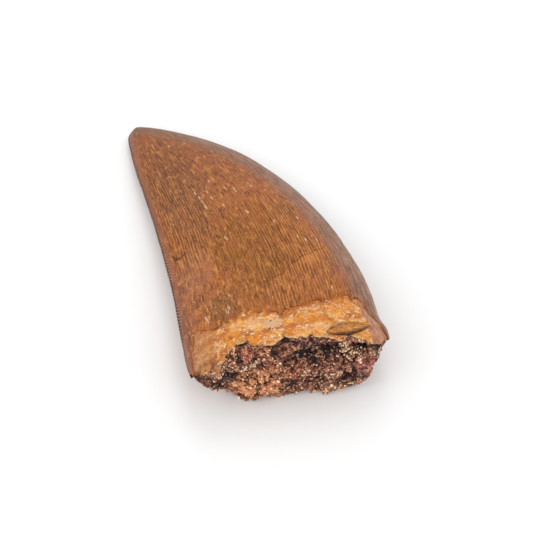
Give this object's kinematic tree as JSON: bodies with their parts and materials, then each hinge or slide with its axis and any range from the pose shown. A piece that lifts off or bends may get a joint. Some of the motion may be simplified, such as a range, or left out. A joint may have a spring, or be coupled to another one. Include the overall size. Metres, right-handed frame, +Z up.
{
  "type": "fossil dinosaur tooth",
  "caption": "Fossil theropod tooth crown with saw-toothed edges, broken below the enamel, lying on its side with red sandstone in its base; a display or teaching specimen.",
  "frame": {"origin": "on the surface the tooth lies on, under the middle of its bounding box", "axes": "+X mesial, towards the long convex edge; +Y from the broken base towards the tip; +Z up, from the face it lies on to the upper face"},
  "size_m": [0.0312, 0.0578, 0.0117],
  "materials": {
    "enamel": "glossy caramel-brown fossil enamel over tan dentine, finely striated",
    "sandstone": "matt dark red sandstone with pale sand grains"
  },
  "bodies": {
    "root": {"tooth_crown": "enamel", "sandstone_matrix": "sandstone"}
  },
  "joints": []
}
